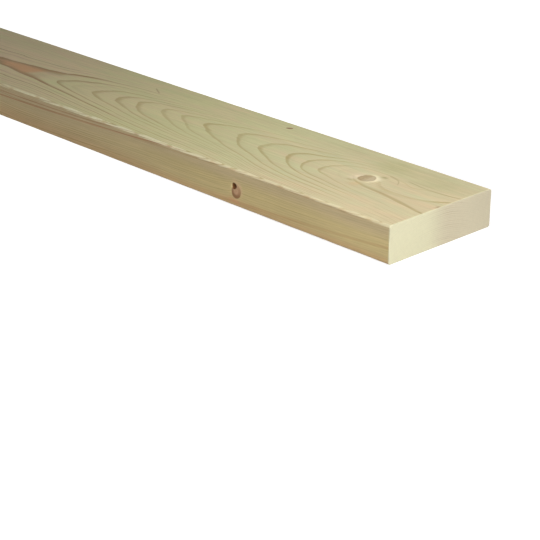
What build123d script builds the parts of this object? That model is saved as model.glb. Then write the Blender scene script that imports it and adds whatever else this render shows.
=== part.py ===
from build123d import *
import os

# A planed softwood plank, sawn from the log as one piece and lying flat on a wide face.
# X runs along its length, Y across its width and Z up through its thickness.
# The origin is on the underside, at the middle of the footprint.

# Driving dimensions, in millimetres
length = 2400.0  # stock length, between the two sawn ends
width = 140.0  # finished width, across the planed wide faces
thickness = 38.0  # finished thickness, between the planed wide faces
arris_radius = 2.0  # rounding that the planer leaves on the four long edges


def plank_section():
    """The planed section in the YZ plane, standing on the XY plane: a rectangle with eased arrises."""
    outline = RectangleRounded(width, thickness, arris_radius)
    return Plane.YZ * Pos(0, thickness / 2) * outline


def plank():
    """The section run along the grain, cut square to the length at both ends."""
    run = extrude(plank_section(), amount=length / 2, both=True)
    run.label = "plank"
    return run


os.makedirs("parts", exist_ok=True)
export_step(plank(), "parts/plank.step")
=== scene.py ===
from math import pi, radians

import bpy
import numpy as np
from mathutils import Euler, Matrix, Vector


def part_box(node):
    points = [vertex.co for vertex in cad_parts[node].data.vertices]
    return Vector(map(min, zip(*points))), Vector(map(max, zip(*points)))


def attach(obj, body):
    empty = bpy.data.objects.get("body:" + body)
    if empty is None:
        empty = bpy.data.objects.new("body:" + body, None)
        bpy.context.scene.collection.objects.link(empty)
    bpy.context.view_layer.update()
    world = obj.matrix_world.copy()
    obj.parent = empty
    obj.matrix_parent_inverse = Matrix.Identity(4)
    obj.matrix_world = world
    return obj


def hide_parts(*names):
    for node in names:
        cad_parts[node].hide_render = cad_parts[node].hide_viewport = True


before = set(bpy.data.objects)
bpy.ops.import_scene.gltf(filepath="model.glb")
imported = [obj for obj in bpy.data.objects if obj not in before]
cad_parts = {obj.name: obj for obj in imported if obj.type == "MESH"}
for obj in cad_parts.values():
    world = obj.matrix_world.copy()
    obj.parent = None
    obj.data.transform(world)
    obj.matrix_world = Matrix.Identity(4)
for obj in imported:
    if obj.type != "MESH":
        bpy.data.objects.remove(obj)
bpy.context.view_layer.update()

low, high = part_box("plank")
endX = high.x
farX = low.x
length = high.x - low.x
halfWidth = (high.y - low.y) / 2
thickness = high.z - low.z
print("frame loaded: plank", round(length, 4), "long")


# Shader maths, written as plain expressions

class Wire:
    # an output socket; arithmetic on it adds Math nodes to the same tree
    def __init__(self, sheet, socket):
        self.sheet = sheet
        self.socket = socket

    def __add__(self, other):
        return self.sheet.maths("ADD", self, other)

    def __radd__(self, other):
        return self.sheet.maths("ADD", other, self)

    def __sub__(self, other):
        return self.sheet.maths("SUBTRACT", self, other)

    def __rsub__(self, other):
        return self.sheet.maths("SUBTRACT", other, self)

    def __mul__(self, other):
        return self.sheet.maths("MULTIPLY", self, other)

    def __rmul__(self, other):
        return self.sheet.maths("MULTIPLY", other, self)

    def __truediv__(self, other):
        return self.sheet.maths("DIVIDE", self, other)

    def __rtruediv__(self, other):
        return self.sheet.maths("DIVIDE", other, self)


class Sheet:
    # the node tree of a material or the world
    def __init__(self, owner):
        owner.use_nodes = True
        self.tree = owner.node_tree
        self.tree.nodes.clear()

    def add(self, kind, settings=None, sockets=None, output=0):
        node = self.tree.nodes.new(kind)
        for name, value in (settings or {}).items():
            if name == "points":
                bendCurve(node.mapping, value)
            else:
                setattr(node, name, value)
        for name, value in (sockets or {}).items():
            if isinstance(value, Wire):
                self.tree.links.new(value.socket, node.inputs[name])
            else:
                node.inputs[name].default_value = value
        return None if output is None else Wire(self, node.outputs[output])

    def maths(self, operation, first, second=0.0):
        return self.add("ShaderNodeMath", {"operation": operation}, {0: first, 1: second})

    def vector(self, operation, first, second=(0, 0, 0), output=0):
        return self.add("ShaderNodeVectorMath", {"operation": operation}, {0: first, 1: second}, output)

    def fade(self, value, start, stop):
        # 0 at start, 1 at stop, eased at both
        sockets = {"Value": value, "From Min": start, "From Max": stop}
        return self.add("ShaderNodeMapRange", {"interpolation_type": "SMOOTHSTEP"}, sockets)

    def band(self, value, start, full, falling, stop):
        # 0 up to start, 1 from full to falling, 0 again from stop
        return self.fade(value, start, full) * (1 - self.fade(value, falling, stop))

    def hill(self, *offsets):
        # 1 where every offset is 0, falling off to all sides
        power = 0
        for offset in offsets:
            power = power - offset * offset
        return self.maths("EXPONENT", power)

    def curve(self, value, points):
        # a smooth curve through points given in real units
        points = sorted(points)
        (left, _), (right, _) = points[0], points[-1]
        heights = [height for _, height in points]
        base, span = min(heights), max(heights) - min(heights)
        shares = [((spot - left) / (right - left), (height - base) / span) for spot, height in points]
        share = (value - left) / (right - left)
        return base + span * self.add("ShaderNodeFloatCurve", {"points": shares}, {"Value": share})

    def grain(self, place, stretch, detail=2.0, rough=0.5):
        # noise about zero, with so many features to the metre along X, Y and Z
        sockets = {"Vector": self.vector("MULTIPLY", place, stretch), "Scale": 1.0}
        sockets.update({"Detail": detail, "Roughness": rough})
        return self.add("ShaderNodeTexNoise", {"noise_dimensions": "3D"}, sockets) * 2 - 1

    def blend(self, factor, first, second, way="MIX"):
        settings = {"data_type": "RGBA", "blend_type": way}
        return self.add("ShaderNodeMix", settings, {0: factor, 6: first, 7: second}, 2)

    def grey(self, value):
        return self.add("ShaderNodeCombineColor", None, {0: value, 1: value, 2: value})


def bendCurve(mapping, points):
    curve = mapping.curves[0]
    curve.points[1].location = (1.0, 1.0)
    for spot in points[1:-1]:
        curve.points.new(*spot)
    mapping.update()
    for point, spot in zip(curve.points, points):
        point.location = spot
        point.handle_type = "AUTO"
    mapping.update()


def tone(red, green, blue):
    # screen values out of 255, as the linear colour that Blender takes
    parts = [part / 255 for part in (red, green, blue)]
    linear = [part / 12.92 if part <= 0.04045 else ((part + 0.055) / 1.055) ** 2.4 for part in parts]
    return (*linear, 1.0)


# How the log grew: the pith runs below the plank, and each branch starts there

log = {
    # from the shown end: how deep below the upper face the pith is, and how far across
    "pithLine": (
        (0.00, 0.1363, -0.007), (0.06, 0.1383, -0.003), (0.12, 0.1395, 0.000), (0.18, 0.1427, -0.003),
        (0.24, 0.1460, 0.000), (0.32, 0.1500, -0.005), (0.40, 0.1526, -0.006), (0.43, 0.1538, -0.006),
        (0.46, 0.1547, -0.006), (0.50, 0.1561, -0.0065), (0.55, 0.15768, -0.0087),
        (0.565, 0.1583, -0.0113), (0.59, 0.15876, -0.0145), (0.60, 0.1589, -0.0150),
        (0.62, 0.1592, -0.0150), (0.645, 0.15945, -0.0155), (0.66, 0.1596, -0.0135),
        (0.69, 0.1600, -0.0140), (0.75, 0.1603, -0.0165), (0.90, 0.1590, -0.018), (1.10, 0.1566, -0.012),
        (1.30, 0.1583, -0.009), (1.50, 0.1606, -0.013), (1.70, 0.1592, -0.011), (1.90, 0.1563, -0.007),
        (2.15, 0.1531, -0.004), (2.40, 0.1508, -0.007)),
    # from the shown end: how far the arches' points lean across the upper face
    "archLean": (
        (0.00, 0.00), (0.06, -0.09), (0.12, 0.03), (0.147, -0.02), (0.197, 0.02), (0.237, 0.00),
        (0.274, 0.06), (0.32, 0.06), (0.39, 0.03), (0.46, -0.01), (0.49, -0.02), (0.52, -0.035),
        (0.55, -0.035), (0.57, -0.005), (0.60, 0.008), (0.66, 0.00), (0.76, 0.02), (0.95, -0.03),
        (1.20, 0.03), (1.60, -0.02), (2.40, 0.00)),
    "leanWidth": 0.020,  # how far to each side of the pith the lean reaches
    "crown": (0.00035, 0.013),  # how much the rings are flattened above the pith, and how wide
    "crownEnd": (0.56, 0.62),  # where that fades out
    "dip": (0.052, 0.019, 0.0006, 0.011),  # closes a ring beside the knot: place, y, depth and reach
    # how far the rings wander, and how often to the metre along X, Y and Z
    "wander": ((0.00030, (10, 30, 30)), (0.00014, (36, 150, 150))),
    # radii of the rings that the upper face cuts into arches, and how dark each is
    "rings": (
        (0.1296, 0.9), (0.1314, 0.4), (0.1334, 0.7), (0.1354, 0.5), (0.1375, 1.3), (0.1389, 0.12),
        (0.1402, 0.7), (0.1420, 0.75), (0.1435, 0.95), (0.1457, 0.9), (0.1477, 0.9), (0.1500, 0.95),
        (0.1513, 0.65), (0.1523, 0.6), (0.1537, 0.75), (0.1546, 0.8), (0.1558, 0.85), (0.1568, 0.15),
        (0.1576, 1.0), (0.1594, 1.1), (0.1609, 0.4), (0.1622, 1.3), (0.1632, 0.4), (0.1642, 0.9),
        (0.1657, 0.4)),
    "reach": (0.092, 0.186),  # radii that the plank spans; the rings go on to there
    "seed": 5,  # for those further rings, between these widths and between these shades
    "ringWidth": (0.0014, 0.0022),
    "ringDarkness": (0.35, 0.9),
    "branchLeast": 0.1,  # no branch gets thinner than this share of its radius at the face
}


def pithAt(fromEnd):
    spots, depths, sides = zip(*log["pithLine"])
    return np.interp(fromEnd, spots, depths), np.interp(fromEnd, spots, sides)


def allRings():
    # the named rings, with more of uneven width on both sides to fill the reach
    rng = np.random.default_rng(log["seed"])
    rings = list(log["rings"])
    while rings[0][0] > log["reach"][0]:
        rings.insert(0, (rings[0][0] - rng.uniform(*log["ringWidth"]), rng.uniform(*log["ringDarkness"])))
    while rings[-1][0] < log["reach"][1]:
        rings.append((rings[-1][0] + rng.uniform(*log["ringWidth"]), rng.uniform(*log["ringDarkness"])))
    return rings


# Each knot's place on the face is from the shown end, y and z, and lean is the way its branch grows there.
# swell, spread: how much and how far out the rings bulge round it
# open: the side where its rim thins out; lit: the side where the pale wood round it carries a painted
# highlight
# core: the share of the radius where the rim starts; rim, paleHighlight: how strong the rim and the pale
# wood with its painted highlight are
# shade: how much of the rim's colour the heart takes on away from the open side
knots = {
    "faceKnot": {
        "fromEnd": 0.0990, "y": 0.0055, "z": 0.038, "lean": (-0.30, 0.06, 0.95), "radius": 0.0086,
        "swell": 0.0021, "spread": 0.0289, "open": (1.0, 0.05, 0.0), "lit": (0.90, 0.40, 0.0),
        "shade": 0.62, "core": 0.66, "rim": 0.50, "paleHighlight": 1.0,
        "heart": (201, 184, 149), "rimColour": (172, 148, 106), "paleHighlightColour": (250, 238, 200)},
    "edgeKnot": {
        "fromEnd": 0.2005, "y": -0.070, "z": 0.0160, "lean": (-0.08, -0.85, 0.45), "radius": 0.0065,
        "swell": 0.0022, "spread": 0.0080, "open": (0.05, 0.0, 0.45), "lit": (0.6, 0.0, 0.8),
        "shade": 0.20, "core": 0.42, "rim": 0.85, "paleHighlight": 0.8,
        "heart": (206, 168, 132), "rimColour": (140, 100, 66), "paleHighlightColour": (224, 192, 150)},
    "barkPocket": {
        "fromEnd": 0.2034, "y": -0.070, "z": 0.0204, "lean": (-0.10, -0.95, 0.25), "radius": 0.0033,
        "swell": 0.0, "spread": 0.002, "open": (0.0, 0.0, 1.0), "lit": (0.0, 0.0, 1.0),
        "shade": 0.5, "core": 0.66, "rim": 0.6, "paleHighlight": 0.0,
        "heart": (92, 56, 24), "rimColour": (110, 70, 34), "paleHighlightColour": (206, 174, 132)},
    "pinKnot": {
        "fromEnd": 0.2555, "y": 0.0560, "z": 0.038, "lean": (-0.72, -0.45, 0.53), "radius": 0.0019,
        "swell": 0.0008, "spread": 0.005, "open": (0.7, 0.5, 0.0), "lit": (0.9, -0.4, 0.0),
        "shade": 0.6, "core": 0.66, "rim": 0.7, "paleHighlight": 0.6,
        "heart": (150, 118, 80), "rimColour": (126, 96, 60), "paleHighlightColour": (216, 204, 166)},
    "innerKnot": {
        "fromEnd": 0.9600, "y": -0.0240, "z": 0.038, "lean": (-0.30, -0.18, 0.93), "radius": 0.0082,
        "swell": 0.0030, "spread": 0.022, "open": (0.9, 0.4, 0.0), "lit": (0.9, -0.4, 0.0),
        "shade": 0.7, "core": 0.66, "rim": 0.85, "paleHighlight": 0.8,
        "heart": (198, 164, 126), "rimColour": (132, 92, 58), "paleHighlightColour": (232, 216, 180)},
    "backKnot": {
        "fromEnd": 1.4700, "y": 0.070, "z": 0.0210, "lean": (-0.20, 0.85, 0.49), "radius": 0.0062,
        "swell": 0.0022, "spread": 0.010, "open": (0.4, 0.0, -0.9), "lit": (0.8, 0.0, 0.6),
        "shade": 0.4, "core": 0.55, "rim": 0.9, "paleHighlight": 0.6,
        "heart": (180, 142, 112), "rimColour": (112, 72, 44), "paleHighlightColour": (206, 174, 132)},
    "farKnot": {
        "fromEnd": 1.9800, "y": 0.0160, "z": 0.038, "lean": (-0.34, 0.10, 0.93), "radius": 0.0070,
        "swell": 0.0026, "spread": 0.026, "open": (0.9, -0.3, 0.0), "lit": (0.9, -0.4, 0.0),
        "shade": 0.7, "core": 0.66, "rim": 0.7, "paleHighlight": 0.8,
        "heart": (204, 176, 138), "rimColour": (148, 112, 74), "paleHighlightColour": (236, 220, 186)},
}


def branchPlace(sheet, place, knot):
    # distance from the branch's axis; then in radii: that distance, and how far it is towards the open
    # and the lit side
    face = Vector((endX - knot["fromEnd"], knot["y"], knot["z"]))
    lean = Vector(knot["lean"]).normalized()
    away = sheet.vector("SUBTRACT", place, face[:])
    along = sheet.vector("DOT_PRODUCT", away, lean[:], "Value")
    onAxis = sheet.add("ShaderNodeVectorMath", {"operation": "SCALE"}, {0: lean[:], "Scale": along})
    across = sheet.vector("SUBTRACT", away, onAxis)
    distance = sheet.vector("LENGTH", across, output="Value")
    depth, _ = pithAt(knot["fromEnd"])
    radius = knot["radius"] * sheet.maths("MAXIMUM", 1 + along / depth, log["branchLeast"])
    sides = (knot["open"], knot["lit"])
    towards = [sheet.vector("DOT_PRODUCT", across, side, "Value") / radius for side in sides]
    return distance, distance / radius, towards


def spotOnTop(sheet, place, fromEnd, y, reach):
    # 1 at a spot on the upper face, falling off to all sides
    return sheet.hill(sheet.vector("DISTANCE", place, (endX - fromEnd, y, thickness), "Value") / reach)


def ringRadius(sheet, place, fromEnd, y, z, branches):
    # radius from the pith; the arches lean, the knots push the rings out and they wander a little
    depth = sheet.curve(fromEnd, [(spot, depth) for spot, depth, _ in log["pithLine"]])
    side = sheet.curve(fromEnd, [(spot, side) for spot, _, side in log["pithLine"]])
    up = z + (depth - thickness)
    across = y - side
    radius = sheet.maths("SQRT", up * up + across * across)
    lean = sheet.curve(fromEnd, log["archLean"])
    radius = radius - lean * across * sheet.hill(across / log["leanWidth"])
    crown, crownWidth = log["crown"]
    radius = radius + crown * sheet.hill(across / crownWidth) * (1 - sheet.fade(fromEnd, *log["crownEnd"]))
    for share, stretch in log["wander"]:
        radius = radius + share * sheet.grain(place, stretch)
    spot, middle, dip, reach = log["dip"]
    radius = radius + dip * spotOnTop(sheet, place, spot, middle, reach)
    for name, knot in knots.items():
        if knot["swell"]:
            away = branches[name][0] / knot["spread"]
            radius = radius - knot["swell"] / (1 + away * away)
    return radius


# How the dark late wood that ends each year shows on the faces
lateWood = {
    # shares of a year's width: where each starts, is full, starts to go and is gone
    "tint": (0.30, 0.90, 0.93, 1.00),
    "line": (0.72, 0.88, 0.93, 0.99),
    "lineGrowth": 0.24,  # how much sooner the line starts along the stretch below
    "growthStretch": (0.30, 0.55, 0.57, 0.63),
    "tintShare": 0.20,
    "lineShare": 0.80,
    "lessOnEdge": 0.10,
    "patches": (0.6, (16, 60, 60)),  # how uneven it is, and how finely
    "darkest": 0.9,  # the phase of the year at a ring's own radius
    # from the shown end: how bold the lines are there
    "boldness": (
        (0.00, 0.55), (0.08, 0.55), (0.16, 0.68), (0.25, 0.58), (0.40, 0.68), (0.50, 0.76), (0.57, 1.0),
        (0.62, 0.95), (2.40, 0.9)),
    # the lines fade towards both narrow faces: how much, and where across that starts and is full
    "farSide": (0.82, 0.016, 0.042),
    "farShift": (0.010, 0.45, 0.60),  # how much sooner further along, and over what stretch that grows
    "nearSide": (0.4, 0.034, 0.056),
    "nearStretch": (0.42, 0.58),  # only further along
    # places on the upper face where the lines fade: from the shown end, y, reach and how much
    "quiet": (
        (0.078, 0.006, 0.016, 0.8), (0.050, -0.003, 0.014, 0.6), (0.026, 0.004, 0.016, 0.6),
        (0.060, -0.052, 0.034, 0.75), (0.015, -0.050, 0.026, 0.6), (0.117, 0.006, 0.013, 0.9)),
}


def growLate(sheet, place, fromEnd, y, radius, onEdge):
    # the phase of the year, its dark line, and how patchy and how strong the late wood is
    rings = allRings()
    years = [(ring, number + lateWood["darkest"]) for number, (ring, _) in enumerate(rings)]
    year = sheet.curve(radius, years)
    strength = sheet.curve(radius, rings)
    phase = sheet.maths("FRACT", year)
    tint = sheet.band(phase, *lateWood["tint"])
    start, full, falling, stop = lateWood["line"]
    growth = lateWood["lineGrowth"] * sheet.band(fromEnd, *lateWood["growthStretch"])
    line = sheet.band(phase, start - growth, full, falling, stop)
    share, stretch = lateWood["patches"]
    patchy = 1 + share * sheet.grain(place, stretch)
    share, start, full = lateWood["farSide"]
    shift, shiftStart, shiftFull = lateWood["farShift"]
    faint = 1 - share * sheet.fade(y + shift * sheet.fade(fromEnd, shiftStart, shiftFull), start, full)
    share, start, full = lateWood["nearSide"]
    nearSide = sheet.fade(0 - y, start, full) * sheet.fade(fromEnd, *lateWood["nearStretch"])
    faint = faint * (1 - share * nearSide)
    bold = strength * patchy * faint * sheet.curve(fromEnd, lateWood["boldness"])
    for spot, middle, reach, share in lateWood["quiet"]:
        bold = bold * (1 - share * spotOnTop(sheet, place, spot, middle, reach))
    lineShare = lateWood["lineShare"] - lateWood["lessOnEdge"] * onEdge
    return phase, line, patchy, (lateWood["tintShare"] * tint + lineShare * line) * bold


# Colours of the planed and sawn faces
wood = {
    "early": tone(207, 202, 160),
    "earlyBehind": tone(206, 201, 150),  # the same further along
    "earlyStretch": (0.00, 0.40),
    "late": tone(166, 144, 84),
    "lateRed": tone(150, 117, 70),  # the same further along, most of all near the broad V there
    "redStretch": (0.30, 0.52),
    "redRadii": (0.1565, 0.1585),
    "redLeast": 0.4,  # how much of it shows away from there
    "pink": tone(218, 196, 158),
    "pinkLength": 0.70,  # from one pinkish stretch to the next
    "pinkShares": (0.34, 0.28, 0.5, 0.75),  # everywhere, by those stretches, clouds and small patches
    "pinkPatches": (22, 90, 90),
    # the narrow faces: the wood's tone with a yellower cast that is painted warm bounce light
    "edge": tone(208, 189, 137),
    "edgeBehind": tone(207, 188, 145),  # the same further along
    "edgeStretch": (0.20, 0.50),
    "edgeHead": tone(204, 184, 144),  # the upper part
    "headLevels": (0.020, 0.034),
    "edgeFootShade": tone(204, 168, 124),  # painted shade: a darker, warmer band along the lower arris
    "footLevels": (0.002, 0.010),  # full below the one, gone above the other
    "footWider": (0.012, 0.010),  # by the clouds, and further along
    "footStretch": (0.20, 0.40),
    "footShare": 0.7,
    "edgeTurn": (0.0022, 0.0004),  # how far in from a narrow face its colour starts and is full
    # the V's orange tip: radii and height where it starts and is full, then the stretch it takes up
    "orange": tone(210, 156, 108),
    "orangeRadii": (0.1583, 0.1589, 0.1592, 0.1595),
    "orangeLevels": (0.034, 0.037),
    "orangeStart": (0.576, 0.590),
    "orangeSlant": 0.5,  # how much further along that is to the near side
    "orangeStop": (0.65, 0.69),
    "orangeShare": 0.8,
    "arris": tone(231, 225, 189),  # painted highlight on the upper arris of the shown side and on the ends' edges
    "arrisHighlightShares": (0.45, 0.45),  # near the shown end, and how much more further along
    "arrisStretch": (0.15, 0.40),
    "arrisWidth": (-0.0028, -0.0020),  # from the corner inwards
    "arrisRagged": (0.0008, (90, 300, 300), 0.0016),  # how uneven, how finely, and how much by the rings
    "arrisLine": 0.7,  # how much the late wood darkens it
    "arrisLess": (0.55, 0.50, 0.62),  # how much fainter towards the far part, and over what stretch
    "gapShare": 0.2,  # what is left of it at a bruise
    "gapReach": 0.006,
    "gapsEnd": 0.62,  # no bruises from here on
    # painted highlight along the ends' edges: how strong, and how far in from an end it holds and is gone
    "endEdgeHighlight": (0.8, 0.0008, 0.0020),
    # painted shade on the far upper arris: its colour, how strong, and its width from the corner inwards
    "farArrisShade": tone(142, 126, 102),
    "farShadeShare": 0.5,
    "farShadeWidth": (-0.0026, -0.0012),
    "endCream": tone(210, 205, 173),
    "endBeige": tone(197, 187, 161),
    "endLate": tone(158, 136, 108),
    "endTurn": (-0.026, 0.010),  # the y where the end turns from cream to beige
    "endRings": (0.30, 0.9, -0.030, 0.010),  # how dark, how much more, and between which y that grows
    "endDepth": (0.0003, 0.0007),  # how far in from an end its colour holds and is gone
    # noise: how often to the metre along X, Y and Z, then its detail and its roughness
    "streaks": ((12, 420, 420), 3.0, 0.6),
    "fibres": ((70, 2400, 2400), 2.0, 0.6),
    "clouds": ((4, 18, 18), 2.0, 0.5),
    "cloudShift": 0.01,  # how far the clouds shift the borders between tones
    "stainPatches": (0.5, (60, 200, 200)),  # how uneven the stains are, and how finely
    "markPatches": (0.5, (40, 160, 160)),  # the same for the marks' width
    # how far under a face they reach: from where they are gone to where they are full
    "stainDepth": (0.003, 0.0),
    "markDepth": {"edge": (0.0016, 0.0004), "top": (0.0012, 0.0004)},
    "shades": (0.18, 0.16, 0.08),  # how strongly the streaks, fibres and clouds lighten and darken
    "shadesLessOnEnd": 0.65,
    "roughness": (0.62, -0.08, 0.06),  # and how the late wood and the fibres change it
    "specular": 0.2,
    "bump": (0.000008, 0.000008, 0.000006),  # metres, by the late wood, streaks and fibres
}

# stains and painted highlights on the upper face: from the shown end, y, reach along and across, share and
# colour
stainsAndHighlights = {
    "whisker": (0.1085, -0.0085, 0.0042, 0.0022, 0.75, (166, 146, 92)),
    "speck": (0.0885, 0.0188, 0.0034, 0.0022, 0.62, (150, 136, 86)),
    "warmPatch": (0.0975, -0.0135, 0.0060, 0.0050, 0.50, (220, 180, 128)),
    # painted highlights by the face knot: the dish wall on its side away from the shown end, and the lit
    # tail beyond its lip
    "flankHighlight": (0.1095, 0.0040, 0.0055, 0.0105, 0.60, (238, 220, 190)),
    "tailHighlight": (0.0890, 0.0100, 0.0035, 0.0040, 0.60, (246, 236, 202)),
    "oliveFar": (0.1000, 0.0480, 0.0240, 0.0180, 0.75, (187, 180, 130)),
    "oliveNear": (0.0450, 0.0420, 0.0340, 0.0220, 0.70, (190, 184, 138)),
    "oliveMiddle": (0.1600, 0.0560, 0.0300, 0.0120, 0.35, (188, 184, 136)),
    "chip": (0.0010, -0.0040, 0.0026, 0.0034, 0.70, (150, 104, 74)),
}

# streaks that don't follow the rings; soft: over what length their ends fade
# path: from the shown end, and y on the wide face or z on the narrow one
marks = {
    "underArris": {
        "face": "edge", "width": 0.0007, "soft": 0.030, "share": 0.62, "colour": (166, 98, 72),
        "path": ((0.265, 0.0376), (0.290, 0.0366), (0.325, 0.0348), (0.355, 0.0328), (0.410, 0.0303),
                 (0.475, 0.0279), (0.537, 0.0262), (0.70, 0.0240))},
    "nearerArris": {
        "face": "edge", "width": 0.0006, "soft": 0.030, "share": 0.50, "colour": (158, 98, 72),
        "path": ((0.330, 0.0374), (0.354, 0.0366), (0.380, 0.0359), (0.400, 0.0346), (0.440, 0.0325),
                 (0.500, 0.0312), (0.70, 0.0290))},
    "alongArris": {
        "face": "edge", "width": 0.0009, "soft": 0.040, "share": 0.35, "colour": (166, 120, 88),
        "path": ((0.02, 0.0352), (0.10, 0.0356), (0.215, 0.0362), (0.235, 0.0356), (0.277, 0.0344),
                 (0.310, 0.0333), (0.37, 0.0318))},
    "footLine": {
        "face": "edge", "width": 0.0013, "soft": 0.030, "share": 0.35, "colour": (184, 136, 94),
        "path": ((-0.03, 0.0175), (0.002, 0.0160), (0.04, 0.0130), (0.10, 0.0095), (0.17, 0.0060),
                 (0.24, 0.0035))},
    "knotFoot": {
        "face": "edge", "width": 0.0026, "soft": 0.007, "share": 0.45, "colour": (214, 158, 118),
        "path": ((0.1930, 0.0030), (0.2020, 0.0052), (0.2140, 0.0062))},
    "thread": {
        "face": "top", "width": 0.0006, "soft": 0.010, "share": 0.60, "colour": (150, 130, 84),
        "path": ((-0.01, 0.0300), (0.005, 0.0272), (0.022, 0.0243), (0.042, 0.0240), (0.055, 0.0256),
                 (0.070, 0.0280))},
    "hook": {
        "face": "top", "width": 0.0010, "soft": 0.003, "share": 0.45, "colour": (150, 132, 86),
        "path": ((0.0655, 0.0105), (0.0680, 0.0147), (0.0705, 0.0185), (0.0760, 0.0226), (0.0890, 0.0255))},
    "underKnot": {
        "face": "top", "width": 0.0014, "soft": 0.014, "share": 0.32, "colour": (150, 128, 76),
        "path": ((-0.02, -0.0310), (0.0, -0.0268), (0.02, -0.0222), (0.034, -0.0185), (0.05, -0.0160),
                 (0.068, -0.0135), (0.095, -0.0110))},
    "fleck": {
        "face": "top", "width": 0.0010, "soft": 0.004, "share": 0.50, "colour": (140, 108, 76),
        "path": ((0.4350, 0.0350), (0.4540, 0.0455))},
}


def planedColour(sheet, place, fromEnd, z, clouds, onEdge):
    # the early wood of the wide faces, then the narrow faces' tones: their yellower cast is painted warm
    # bounce light, and the darker band at their foot is painted shade
    wave = sheet.maths("COSINE", fromEnd * (2 * pi / wood["pinkLength"]))
    patches = sheet.grain(place, wood["pinkPatches"])
    base, byWave, byClouds, byPatches = wood["pinkShares"]
    pinkness = base + byWave * wave + byClouds * clouds + byPatches * patches
    early = sheet.blend(sheet.fade(fromEnd, *wood["earlyStretch"]), wood["early"], wood["earlyBehind"])
    colour = sheet.blend(pinkness, early, wood["pink"])
    edge = sheet.blend(sheet.fade(fromEnd, *wood["edgeStretch"]), wood["edge"], wood["edgeBehind"])
    head = sheet.fade(z + wood["cloudShift"] * clouds, *wood["headLevels"])
    edge = sheet.blend(head, edge, wood["edgeHead"])
    full, gone = wood["footLevels"]
    byClouds, furtherAlong = wood["footWider"]
    gone = gone + byClouds * clouds + furtherAlong * sheet.fade(fromEnd, *wood["footStretch"])
    edge = sheet.blend(wood["footShare"] * (1 - sheet.fade(z, full, gone)), edge, wood["edgeFootShade"])
    return sheet.blend(onEdge, colour, edge)


def orangeTip(sheet, fromEnd, y, z, radius):
    inside = sheet.band(radius, *wood["orangeRadii"]) * sheet.fade(z, *wood["orangeLevels"])
    start = sheet.fade(fromEnd + wood["orangeSlant"] * y, *wood["orangeStart"])
    return wood["orangeShare"] * inside * start * (1 - sheet.fade(fromEnd, *wood["orangeStop"]))


def addStainsAndHighlights(sheet, colour, place, fromEnd, y, z):
    gone, full = wood["stainDepth"]
    onTop = sheet.fade(z, thickness - gone, thickness - full)
    uneven, stretch = wood["stainPatches"]
    for spot, middle, reach, width, share, spotColour in stainsAndHighlights.values():
        there = sheet.hill((fromEnd - spot) / reach, (y - middle) / width) * onTop
        there = share * there * (1 + uneven * sheet.grain(place, stretch))
        colour = sheet.blend(there, colour, tone(*spotColour))
    return colour


def addMarks(sheet, colour, place, fromEnd, y, z, patchy):
    faces = {}
    for face, across, upTo, height in (("edge", z, 0 - y, halfWidth), ("top", y, z, thickness)):
        gone, full = wood["markDepth"][face]
        faces[face] = across, sheet.fade(upTo, height - gone, height - full)
    uneven, stretch = wood["markPatches"]
    for mark in marks.values():
        across, onFace = faces[mark["face"]]
        offset = across - sheet.curve(fromEnd, mark["path"])
        offset = offset / (mark["width"] * (1 + uneven * sheet.grain(place, stretch)))
        start, stop = mark["path"][0][0], mark["path"][-1][0]
        there = sheet.band(fromEnd, start, start + mark["soft"], stop - mark["soft"], stop)
        there = there * onFace * sheet.hill(offset)
        colour = sheet.blend(mark["share"] * there * patchy, colour, tone(*mark["colour"]))
    return colour


def lightArrises(sheet, colour, place, fromEnd, nearestEnd, y, z, phase, line):
    # the upper arris of the shown side and the ends' edges catch more light, the far arris less
    uneven, stretch, byYear = wood["arrisRagged"]
    ragged = uneven * sheet.grain(place, stretch) + byYear * (phase - 0.5)
    arris = sheet.fade(z - y - (halfWidth + thickness) - ragged, *wood["arrisWidth"])
    arris = arris * (1 - wood["arrisLine"] * line)
    gaps = [(0.0, 1.0)]
    for gap in plank["bruises"]:
        gaps += [(gap - wood["gapReach"], 1.0), (gap, wood["gapShare"]), (gap + wood["gapReach"], 1.0)]
    arris = arris * sheet.curve(fromEnd, gaps + [(wood["gapsEnd"], 1.0)])
    less, start, stop = wood["arrisLess"]
    arris = arris * (1 - less * sheet.fade(fromEnd, start, stop))
    share, more = wood["arrisHighlightShares"]
    share = share + more * sheet.fade(fromEnd, *wood["arrisStretch"])
    colour = sheet.blend(arris * share, colour, wood["arris"])
    share, full, gone = wood["endEdgeHighlight"]
    colour = sheet.blend(share - share * sheet.fade(nearestEnd, full, gone), colour, wood["arris"])
    farShade = sheet.fade(z + y - (halfWidth + thickness), *wood["farShadeWidth"])
    return sheet.blend(wood["farShadeShare"] * farShade, colour, wood["farArrisShade"])


def sawnColour(sheet, y, clouds, late):
    # the ends: cream on the shown side, beige beyond, with darker rings there
    turn = sheet.fade(y + wood["cloudShift"] * clouds, *wood["endTurn"])
    colour = sheet.blend(turn, wood["endCream"], wood["endBeige"])
    share, more, start, full = wood["endRings"]
    return sheet.blend((share + more * sheet.fade(y, start, full)) * late, colour, wood["endLate"])


# What all knots share; distances are in their radii
knotLook = {
    "outline": (0.16, (150, 150, 150)),  # how uneven it is, and how finely
    "shut": (-0.35, 0.40),  # towards the open side: where the rim starts to thin out and is thin
    "lit": (-0.1, 0.9),  # towards the lit side: where the painted highlight on the pale wood grows stronger and is full
    "litLeast": 0.15,  # how strong it is on the other side
    "paleHighlight": (0.9, 1.05, 1.12, 1.7),  # where the pale wood with its painted highlight starts, is full, starts to go and is gone
    "haloPatches": (0.9, 0.4, (110, 110, 110)),  # how strong, how uneven and how finely
    "heartRings": (0.15, 17),  # how dark and how close
    "heartEdge": (0.90, 1.04),
    "rimWidth": 0.22,  # from where it starts to where it's full
    "rimEdge": (0.98, 1.10),
    "rimLeast": 0.12,  # how strong the rim is on the open side
}


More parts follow.
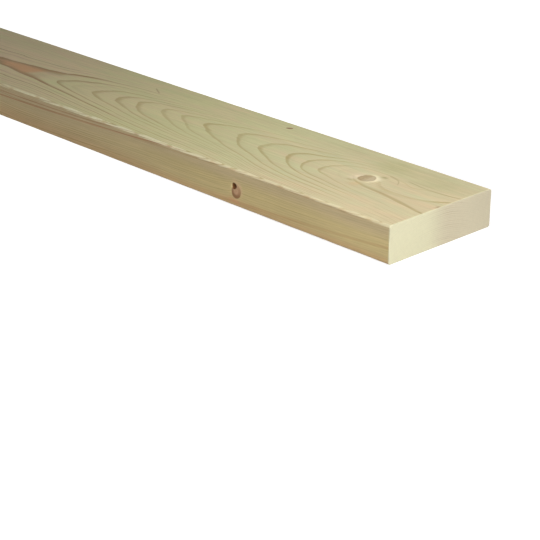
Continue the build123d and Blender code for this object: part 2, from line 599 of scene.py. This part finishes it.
def addKnots(sheet, colour, place, branches):
    # the heart with faint rings, a rim that thins out on one side, pale wood round them with a painted
    # highlight on the lit side
    for name, knot in knots.items():
        _, ratio, (towardsOpen, towardsLit) = branches[name]
        rimColour = tone(*knot["rimColour"])
        uneven, stretch = knotLook["outline"]
        ratio = ratio * (1 + uneven * sheet.grain(place, stretch, 1.0))
        shut = 1 - sheet.fade(towardsOpen, *knotLook["shut"])
        least = knotLook["litLeast"]
        lit = least + (1 - least) * sheet.fade(towardsLit, *knotLook["lit"])
        strong, uneven, stretch = knotLook["haloPatches"]
        paleHighlight = sheet.band(ratio, *knotLook["paleHighlight"]) * lit * (strong + uneven * sheet.grain(place, stretch))
        colour = sheet.blend(knot["paleHighlight"] * paleHighlight, colour, tone(*knot["paleHighlightColour"]))
        dark, close = knotLook["heartRings"]
        rings = 0.5 + 0.5 * sheet.maths("SINE", ratio * close)
        heart = sheet.blend(dark * rings + knot["shade"] * shut, tone(*knot["heart"]), rimColour)
        colour = sheet.blend(1 - sheet.fade(ratio, *knotLook["heartEdge"]), colour, heart)
        rim = sheet.band(ratio, knot["core"], knot["core"] + knotLook["rimWidth"], *knotLook["rimEdge"])
        least = knotLook["rimLeast"]
        colour = sheet.blend(knot["rim"] * rim * (least + (1 - least) * shut), colour, rimColour)
    return colour


def growWood():
    material = bpy.data.materials.new("planedSoftwood")
    sheet = Sheet(material)
    place = sheet.add("ShaderNodeTexCoord", output="Object")
    x, y, z = [sheet.add("ShaderNodeSeparateXYZ", None, {0: place}, part) for part in "XYZ"]
    fromEnd = endX - x
    nearestEnd = sheet.maths("MINIMUM", fromEnd, x - farX)
    onEnd = 1 - sheet.fade(nearestEnd, *wood["endDepth"])
    start, full = wood["edgeTurn"]
    onEdge = sheet.fade(sheet.maths("ABSOLUTE", y), halfWidth - start, halfWidth - full)
    branches = {name: branchPlace(sheet, place, knot) for name, knot in knots.items()}
    radius = ringRadius(sheet, place, fromEnd, y, z, branches)
    phase, line, patchy, late = growLate(sheet, place, fromEnd, y, radius, onEdge)

    streaks = sheet.grain(place, *wood["streaks"])
    fibres = sheet.grain(place, *wood["fibres"])
    clouds = sheet.grain(place, *wood["clouds"])
    colour = planedColour(sheet, place, fromEnd, z, clouds, onEdge)
    colour = sheet.blend(orangeTip(sheet, fromEnd, y, z, radius), colour, wood["orange"])
    least = wood["redLeast"]
    reddish = least + (1 - least) * sheet.fade(radius, *wood["redRadii"])
    reddish = sheet.fade(fromEnd, *wood["redStretch"]) * reddish
    colour = sheet.blend(late, colour, sheet.blend(reddish, wood["late"], wood["lateRed"]))
    colour = addStainsAndHighlights(sheet, colour, place, fromEnd, y, z)
    colour = addMarks(sheet, colour, place, fromEnd, y, z, patchy)
    colour = lightArrises(sheet, colour, place, fromEnd, nearestEnd, y, z, phase, line)
    colour = sheet.blend(onEnd, colour, sawnColour(sheet, y, clouds, late))
    colour = addKnots(sheet, colour, place, branches)

    byStreaks, byFibres, byClouds = wood["shades"]
    shade = (byStreaks * streaks + byFibres * fibres) * (1 - wood["shadesLessOnEnd"] * onEnd)
    colour = sheet.blend(1.0, colour, sheet.grey(1 + shade + byClouds * clouds), "MULTIPLY")
    base, byLate, byFibres = wood["roughness"]
    rough = base + byLate * late + byFibres * fibres
    byLate, byStreaks, byFibres = wood["bump"]
    height = byLate * late + byStreaks * streaks + byFibres * fibres
    bump = sheet.add("ShaderNodeBump", None, {"Strength": 1.0, "Distance": 1.0, "Height": height})
    sockets = {"Base Color": colour, "Roughness": rough, "Normal": bump}
    sockets["Specular IOR Level"] = wood["specular"]
    surface = sheet.add("ShaderNodeBsdfPrincipled", None, sockets)
    sheet.add("ShaderNodeOutputMaterial", None, {"Surface": surface}, None)
    print("wood grown:", len(sheet.tree.nodes), "nodes")
    return material


# The plank's mesh: a rounded section run along the length, finer round the knots that show

plank = {
    "arris": 0.002,  # radius that the planer leaves on the long edges
    "arrisSteps": 6,
    # waves to the metre along X, Y and Z
    "rippleWaves": (9, 20, 30),
    "wearWaves": ((40, 9, 30), (11, 9, 30)),
    "breakWaves": 60,  # both ways across an end
    "sawWaves": (30, 60),  # along Y and Z
    "arrisWear": 0.0008,  # how much deeper it is eased in places
    # from the shown end: where the upper arris on the shown side is bruised, then how deep and how long
    "bruises": (0.0275, 0.059, 0.105, 0.141, 0.206, 0.235, 0.299, 0.350, 0.402, 0.427, 0.474, 0.516, 0.562),
    "bruiseSize": (0.0004, 0.004),
    "endBreak": 0.0005,  # bevel that the saw leaves round the ends
    "endBreakShares": (0.6, 0.9),  # how much of it is everywhere, and how much more in places
    "endInsets": (0.0, 0.0014, 0.0040, 0.0075, 0.0115, 0.0150),  # loops that fill an end, from its edge
    "sawMarks": 0.00006,  # how uneven the ends are
    "sharpAngle": 28,  # degrees; steeper bends between faces stay sharp
    "settle": 0.00005,  # how far the worked faces lie inside the nominal section
    "ripple": 0.00008,
    "cornerStep": 0.0004,  # between a flat and the arris beside it
    "steps": {"near": 0.0018, "top": 0.0022, "far": 0.0030, "under": 0.0040},
    "fineLength": 0.62,  # the shown stretch, with stations this close
    "fineStep": 0.0028,
    "coarseStep": 0.0075,
    "coarsening": 0.02,  # how fast the one turns into the other
    "knotStep": 0.0010,
    "knotCoarsening": 0.25,
    # how far from a knot's middle the steps are that fine, along and across the plank
    "knotReach": {"faceKnot": (0.016, 0.014), "edgeKnot": (0.010, 0.009)},
}

# Relief in metres; the radii are from the middle of the knot or hole
relief = {
    # how far under the upper and the shown narrow face it starts, and over what depth it grows full
    "topDepth": (0.003, 0.002),
    "nearDepth": (0.002, 0.001),
    "dishStretch": 0.8,  # under 1 it is longer along the grain
    "dish": (0.00042, 0.016),  # depth and reach
    "lip": (0.00040, 0.0088, 0.0022),  # height, radius and width
    "lipGroove": (0.00012, 0.0074, 0.0012),  # depth, radius and width, on the other side
    "lipGrooveTurn": 0.3,  # how strong it still is half way round
    "edgeSquash": 0.92,
    "edgeGroove": (0.00030, 0.0064, 0.0010),
    "edgeGrooveFoot": (1.2, 0.006),  # strength at the knot's height, and the depth that takes 1 off it
    "hole": (0.0022, 0.0018, 0.00030),  # depth, radius and how softly its wall starts
    "holeStretch": 0.64,
}


def closeSteps(start, stop, step, spots):
    # steps from start to stop, closer round each of the spots
    places = [start]
    while places[-1] < stop:
        here = places[-1]
        size = step(here)
        for spot, reach in spots:
            away = max(0, abs(here - spot) - reach)
            size = min(size, plank["knotStep"] + away * plank["knotCoarsening"])
        places.append(here + size)
    places = np.array(places)
    return start + (places - start) * (stop - start) / (places[-1] - start)


def sectionLoop():
    # points round the section with their outward normals, and how far round an arris each is
    core = plank["arris"]
    flatY, flatZ = halfWidth - core, thickness / 2 - core
    sides = (("near", (-flatY, -flatZ), (-flatY, flatZ), (-1, 0)),
             ("top", (-flatY, flatZ), (flatY, flatZ), (0, 1)),
             ("far", (flatY, flatZ), (flatY, -flatZ), (1, 0)),
             ("under", (flatY, -flatZ), (-flatY, -flatZ), (0, -1)))
    reaches = plank["knotReach"]
    spots = {"near": [(knots["edgeKnot"]["z"] - core, reaches["edgeKnot"][1])],
             "top": [(halfWidth - core + knots["faceKnot"]["y"], reaches["faceKnot"][1])]}
    points, normals, turns = [], [], []
    for name, start, stop, outwards in sides:
        span = abs(stop[0] - start[0]) + abs(stop[1] - start[1])
        step = plank["steps"][name]
        along = closeSteps(0.0, span, lambda here: step, spots.get(name, []))
        corner = plank["cornerStep"]
        along = np.concatenate([[0.0, corner], along[1:-1], [span - corner, span]])
        shares = (along / span)[:, None]
        flat = np.array(start) * (1 - shares) + np.array(stop) * shares + core * np.array(outwards)
        points.append(flat)
        normals.append(np.tile(outwards, (len(flat), 1)))
        turns.append(np.zeros(len(flat)))
        # the arris that follows this side
        facing = np.arctan2(outwards[1], outwards[0])
        shares = np.arange(1, plank["arrisSteps"]) / plank["arrisSteps"]
        angles = facing - pi / 2 * shares
        ways = np.stack([np.cos(angles), np.sin(angles)], 1)
        points.append(np.array(stop) + core * ways)
        normals.append(ways)
        turns.append(shares)
    loop = np.concatenate(points) + (0, thickness / 2)
    return loop, np.concatenate(normals), np.concatenate(turns)


def stations():
    # distances from the shown end
    spots = [(knots[name]["fromEnd"], reach) for name, (reach, _) in plank["knotReach"].items()]

    def step(here):
        past = max(0, here - plank["fineLength"])
        return min(plank["coarseStep"], plank["fineStep"] + plank["coarsening"] * past)

    return closeSteps(plank["endBreak"], length - plank["endBreak"], step, spots)


def ripples(seed, *axes):
    # smooth unevenness from 0 to 1; each axis comes with its number of waves to the metre
    rng = np.random.default_rng(seed)
    waves = 7
    total = 0
    for _ in range(waves):
        phase = rng.uniform(0, 2 * pi)
        for values, pace in axes:
            phase = phase + values * (pace * 2 * pi * rng.uniform(-1, 1))
        total = total + np.sin(phase)
    return 0.5 + total / (2 * waves)


def ridge(distance, radius, width):
    # 1 along a ring of that radius, falling off to both sides
    return np.exp(-((distance - radius) / width) ** 2)


def knotRelief(x, y, z):
    # round the knot on the wide face the planer leaves a shallow dish with a lip on one side
    knot = knots["faceKnot"]
    awayX = x - (endX - knot["fromEnd"])
    awayY = y - knot["y"]
    deep, growth = relief["topDepth"]
    onTop = np.clip((z - (thickness - deep)) / growth, 0, 1)
    distance = np.hypot(awayX * relief["dishStretch"], awayY)
    towards = (awayX * knot["open"][0] + awayY * knot["open"][1]) / np.maximum(distance, 1e-6)
    deep, reach = relief["dish"]
    sink = deep * ridge(distance, 0, reach)
    tall, radius, width = relief["lip"]
    sink = sink - tall * ridge(distance, radius, width) * np.clip(towards, 0, 1) ** 0.5
    deep, radius, width = relief["lipGroove"]
    sink = sink + deep * ridge(distance, radius, width) * np.clip(relief["lipGrooveTurn"] - towards, 0, 1)
    sink = sink * onTop
    # the knot on the narrow face has a groove round it, but for its foot, and a hole where bark fell out
    knot = knots["edgeKnot"]
    deep, growth = relief["nearDepth"]
    onNear = np.clip((-halfWidth + deep - y) / growth, 0, 1)
    awayZ = z - knot["z"]
    distance = np.hypot(x - (endX - knot["fromEnd"]), awayZ * relief["edgeSquash"])
    level, loss = relief["edgeGrooveFoot"]
    shut = np.clip(level + awayZ / loss, 0, 1)
    deep, radius, width = relief["edgeGroove"]
    sink = sink + deep * ridge(distance, radius, width) * shut * onNear
    hole = knots["barkPocket"]
    awayX = (x - (endX - hole["fromEnd"])) * relief["holeStretch"]
    distance = np.hypot(awayX, (z - hole["z"]) * relief["edgeSquash"])
    deep, radius, soft = relief["hole"]
    return sink + deep / (1 + np.exp((distance - radius) / soft)) * onNear


def fillEnd(edge, rim, total, place, outwards):
    # loops of faces from the rim inwards, with a bevel at the rim and a last face that closes the end
    count = len(edge)
    middle = np.clip(edge[:, 0], thickness / 2 - halfWidth, halfWidth - thickness / 2)
    target = np.stack([middle, np.full(count, thickness / 2)], 1)
    away = edge - target
    reach = np.linalg.norm(away, axis=1)[:, None]
    everywhere, more = plank["endBreakShares"]
    pace = plank["breakWaves"]
    worn = everywhere + more * ripples(4 + outwards, (edge[:, 0], pace), (edge[:, 1], pace))
    worn = plank["endBreak"] * worn
    vertices, faces = [], []
    outer = rim
    for inset in plank["endInsets"]:
        spots = target + away * (1 - (inset + worn[:, None]) / reach)
        inner = total + np.arange(count)
        marks = plank["sawMarks"] * ripples(7, *zip(spots.T, plank["sawWaves"]))
        vertices.append(np.stack([place - outwards * marks, spots[:, 0], spots[:, 1]], 1))
        ring = np.stack([outer, np.roll(outer, -1), np.roll(inner, -1), inner], -1)
        ring = ring if outwards > 0 else ring[:, ::-1]
        faces += [tuple(quad) for quad in ring.tolist()]
        outer = inner
        total += count
    faces.append(tuple(outer[::outwards].tolist()))
    return vertices, faces, total


def meshPlank():
    loop, normals, turns = sectionLoop()
    along = stations()
    rows, count = len(along), len(loop)
    x = np.repeat(endX - along[:, None], count, 1)
    y = np.repeat(loop[None, :, 0], rows, 0)
    z = np.repeat(loop[None, :, 1], rows, 0)
    axes = (x, y, z)
    sink = plank["settle"] + plank["ripple"] * ripples(1, *zip(axes, plank["rippleWaves"]))
    sink = sink + knotRelief(x, y, z)
    fine, broad = plank["wearWaves"]
    wear = ripples(2, *zip(axes, fine)) * ripples(3, *zip(axes, broad))
    deep, long = plank["bruiseSize"]
    bruises = sum(deep * ridge(endX - x, bruise, long) for bruise in plank["bruises"])
    bruises = bruises * (y < 0) * (z > thickness / 2)
    sink = sink + (plank["arrisWear"] * wear + bruises) * np.sin(turns * pi)[None, :]
    y = y - sink * normals[None, :, 0]
    z = z - sink * normals[None, :, 1]
    z = z - z.min()
    body = np.stack([x, y, z], -1)
    grid = np.arange(rows * count).reshape(rows, count)
    right = np.roll(grid, -1, 1)
    quads = np.stack([grid[:-1], grid[1:], right[1:], right[:-1]], -1).reshape(-1, 4)
    vertices = [body.reshape(-1, 3)]
    faces = [tuple(quad) for quad in quads.tolist()]
    total = rows * count
    for row, place, outwards in ((0, endX, 1), (rows - 1, farX, -1)):
        more, ring, total = fillEnd(body[row, :, 1:], grid[row], total, place, outwards)
        vertices += more
        faces += ring
    return np.concatenate(vertices), faces, along, loop


# The flat layout for the texture: the shown stretch large, the rest below it, then the ends
layout = {
    "image": 1024,
    "gap": 6,
    "split": 0.70,  # from the shown end
    "round": 1410,  # pixels to the metre round the section
    "near": 1440,  # along the shown stretch
    "far": 360,
    "ends": 2750,
}


def layOut(data, along, loop):
    gap = layout["gap"]
    steps = np.linalg.norm(np.roll(loop, -1, 0) - loop, axis=1)
    # round the section from the far lower arris
    first = int(np.argmin(loop[:, 1] - 0.001 * loop[:, 0]))
    before = np.roll(np.concatenate([[0.0], np.cumsum(np.roll(steps, -first))[:-1]]), first)
    stripHeight = (before + steps).max() * layout["round"]
    spots = []
    for start, stop in zip(along[:-1], along[1:]):
        near = (start + stop) / 2 < layout["split"]
        scale = layout["near"] if near else layout["far"]
        offset = gap if near else gap - layout["split"] * scale
        lift = gap if near else 2 * gap + stripHeight
        left, right = offset + start * scale, offset + stop * scale
        lower = lift + before * layout["round"]
        upper = lift + (before + steps) * layout["round"]
        columns = np.stack([np.full(len(loop), side) for side in (left, right, right, left)], 1)
        spots.append(np.stack([columns, np.stack([lower, lower, upper, upper], 1)], -1).reshape(-1, 2))
    spots = np.concatenate(spots)
    corners = np.empty(len(data.loops), int)
    data.loops.foreach_get("vertex_index", corners)
    places = np.empty(len(data.vertices) * 3)
    data.vertices.foreach_get("co", places)
    ends = places.reshape(-1, 3)[corners[len(spots):]]
    across = 3 * gap + (length - layout["split"]) * layout["far"]
    across = across + (ends[:, 1] + halfWidth) * layout["ends"]
    lift = 2 * gap + stripHeight + ends[:, 2] * layout["ends"]
    lift = lift + (ends[:, 0] < 0) * (gap + thickness * layout["ends"])
    spots = np.concatenate([spots, np.stack([across, lift], 1)]) / layout["image"]
    data.uv_layers.new(name="OFBake").data.foreach_set("uv", spots.ravel())
    print("texture layout spans", spots.min(0).round(3), "to", spots.max(0).round(3))


def buildPlank():
    vertices, faces, along, loop = meshPlank()
    data = bpy.data.meshes.new("plankBody")
    data.from_pydata(vertices.tolist(), [], faces)
    data.update()
    body = bpy.data.objects.new("plankBody", data)
    bpy.context.scene.collection.objects.link(body)
    for polygon in data.polygons:
        polygon.use_smooth = True
    data.set_sharp_from_angle(angle=radians(plank["sharpAngle"]))
    layOut(data, along, loop)
    data.materials.append(growWood())
    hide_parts("plank")
    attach(body, "root")
    print("plank made:", sum(len(polygon.vertices) - 2 for polygon in data.polygons), "triangles")


# Floor, backdrop, lamps and camera

stage = {
    "floorSize": 30.0,
    "floorColour": tone(188, 188, 186),
    "floorWhite": (0.62, 1.0),  # what the camera sees added to the lit floor, by the shown end and far off
    "whiteReach": (0.10, 0.60),  # how far from that end the one turns into the other
    "skyLevel": 0.075,
    # name: place, what it points at, length and width, power, spread in degrees
    "lamps": {
        "rightSoftbox": ((2.25, -0.52, 0.42), (1.20, 0.0, 0.02), (0.6, 0.6), 15.7, 180),
        "overSoftbox": ((1.24, -0.12, 0.80), (1.11, 0.0, 0.03), (0.5, 0.5), 1.31, 98),
        "frontCard": ((0.90, -1.10, 0.16), (0.90, 0.0, 0.02), (0.25, 0.15), 0.030, 34),
        "longSoftbox": ((-0.68, 0.0, 0.84), (-0.68, 0.0, 0.0), (1.58, 0.5), 1.30, 60),
        "nearStrip": ((-0.45, -1.10, 0.12), (-0.45, 0.0, 0.02), (1.8, 0.2), 1.50, 60),
        "backStrip": ((0.0, 1.20, 0.10), (0.0, 0.0, 0.02), (2.2, 0.15), 1.9, 90),
        "leftSoftbox": ((-2.25, 0.30, 0.42), (-1.20, 0.0, 0.02), (0.6, 0.6), 1.2, 40),
    },
}


def seenRay(sheet):
    # 1 for rays straight from the camera, and for reflected and refracted ones
    rays = [sheet.add("ShaderNodeLightPath", output=f"Is {kind} Ray")
            for kind in ("Camera", "Glossy", "Transmission")]
    return sheet.maths("MINIMUM", rays[0] + rays[1] + rays[2], 1.0)


def setFloor():
    size = stage["floorSize"] / 2
    corners = [(-size, -size, 0), (size, -size, 0), (size, size, 0), (-size, size, 0)]
    data = bpy.data.meshes.new("floor")
    data.from_pydata(corners, [], [(0, 1, 2, 3)])
    floor = bpy.data.objects.new("floor", data)
    bpy.context.scene.collection.objects.link(floor)
    material = bpy.data.materials.new("paleFloor")
    sheet = Sheet(material)
    place = sheet.add("ShaderNodeTexCoord", output="Object")
    away = sheet.vector("DISTANCE", place, (endX, 0, 0), "Value")
    near, far = stage["floorWhite"]
    level = seenRay(sheet) * (near + (far - near) * sheet.fade(away, *stage["whiteReach"]))
    diffuse = sheet.add("ShaderNodeBsdfDiffuse", None, {"Color": stage["floorColour"]})
    glow = sheet.add("ShaderNodeEmission", None, {"Color": sheet.grey(level), "Strength": 1.0})
    surface = sheet.add("ShaderNodeAddShader", None, {0: diffuse, 1: glow})
    sheet.add("ShaderNodeOutputMaterial", None, {"Surface": surface}, None)
    data.materials.append(material)


def lightStage():
    world = bpy.data.worlds.new("studio")
    bpy.context.scene.world = world
    sheet = Sheet(world)
    level = stage["skyLevel"] + (1 - stage["skyLevel"]) * seenRay(sheet)
    surface = sheet.add("ShaderNodeBackground", None, {"Color": (1, 1, 1, 1), "Strength": level})
    sheet.add("ShaderNodeOutputWorld", None, {"Surface": surface}, None)
    for name, (spot, aim, size, power, spread) in stage["lamps"].items():
        data = bpy.data.lights.new(name, "AREA")
        data.shape = "RECTANGLE"
        data.size, data.size_y = size
        data.energy = power
        data.spread = radians(spread)
        lamp = bpy.data.objects.new(name, data)
        lamp.location = spot
        lamp.rotation_euler = (Vector(aim) - Vector(spot)).to_track_quat("-Z", "Y").to_euler()
        bpy.context.scene.collection.objects.link(lamp)


view = {
    "place": (2.1666, -1.1542, 0.6068),
    "heading": 45.9,  # degrees round from +Y
    "pitch": 22.91,  # degrees below the horizon
    "roll": 0.557,
    "lens": 117.46,  # millimetres
    "sensor": 36.0,
    "clip": (0.01, 100.0),
}


def setCamera():
    data = bpy.data.cameras.new("camera")
    data.sensor_width = view["sensor"]
    data.lens = view["lens"]
    data.clip_start, data.clip_end = view["clip"]
    camera = bpy.data.objects.new("camera", data)
    aim = Euler((radians(90 - view["pitch"]), 0, radians(view["heading"]))).to_matrix()
    turn = aim @ Matrix.Rotation(radians(view["roll"]), 3, "Z")
    camera.rotation_euler = turn.to_euler()
    camera.location = view["place"]
    bpy.context.scene.collection.objects.link(camera)
    bpy.context.scene.camera = camera


setCamera()
setFloor()
lightStage()
bpy.context.scene.view_settings.view_transform = "Standard"
print("camera, floor and lamps set")
buildPlank()
